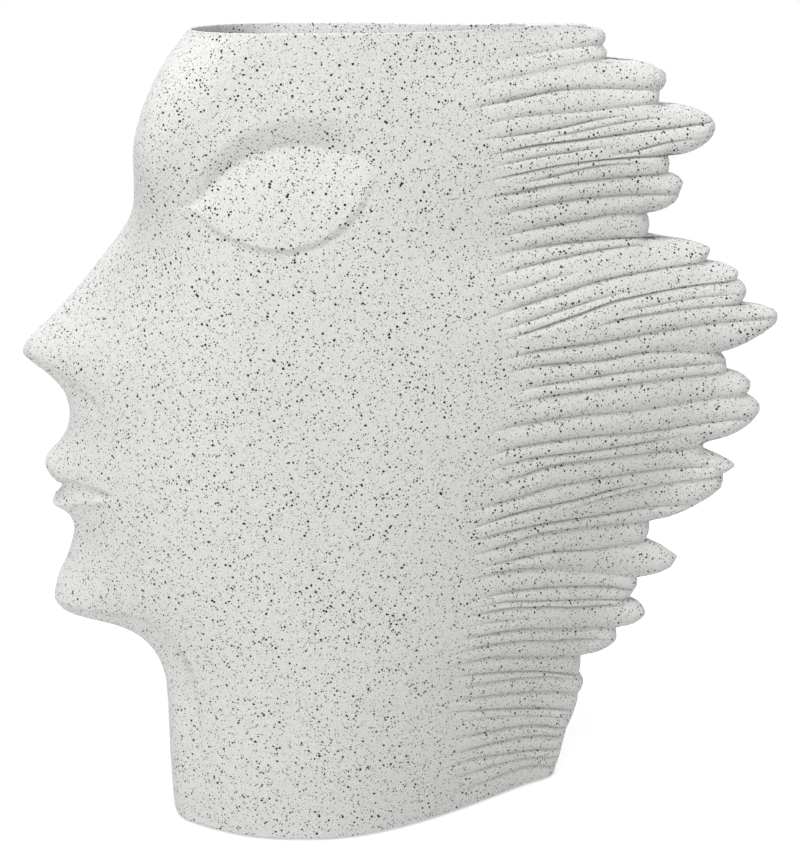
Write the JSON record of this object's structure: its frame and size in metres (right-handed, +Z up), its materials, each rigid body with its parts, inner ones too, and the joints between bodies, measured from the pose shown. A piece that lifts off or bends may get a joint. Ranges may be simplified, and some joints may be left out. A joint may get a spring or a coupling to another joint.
{
  "type": "floor vase",
  "caption": "Hollow floor vase in the shape of an abstract head in profile with swept-back locks of hair, open at the top to hold stems.",
  "frame": {"origin": "centre of the overall box in plan, at floor level under the pads", "axes": "+X from the face towards the hair, +Y towards the right half moulding, +Z up"},
  "size_m": [0.67, 0.2696, 0.695],
  "materials": {
    "speckled_casting": "matt off-white with black speckles",
    "bare_casting": "matt, unpainted",
    "glass_tape": "resin-soaked glass cloth",
    "pad": "matt"
  },
  "bodies": {
    "root": {"left_shell": "speckled_casting", "right_shell": "speckled_casting", "base_plate": "bare_casting", "front_joint_tape": "glass_tape", "rear_joint_tape": "glass_tape", "front_left_pad": "pad", "front_right_pad": "pad", "side_left_pad": "pad", "side_right_pad": "pad", "rear_pad": "pad"}
  },
  "joints": []
}
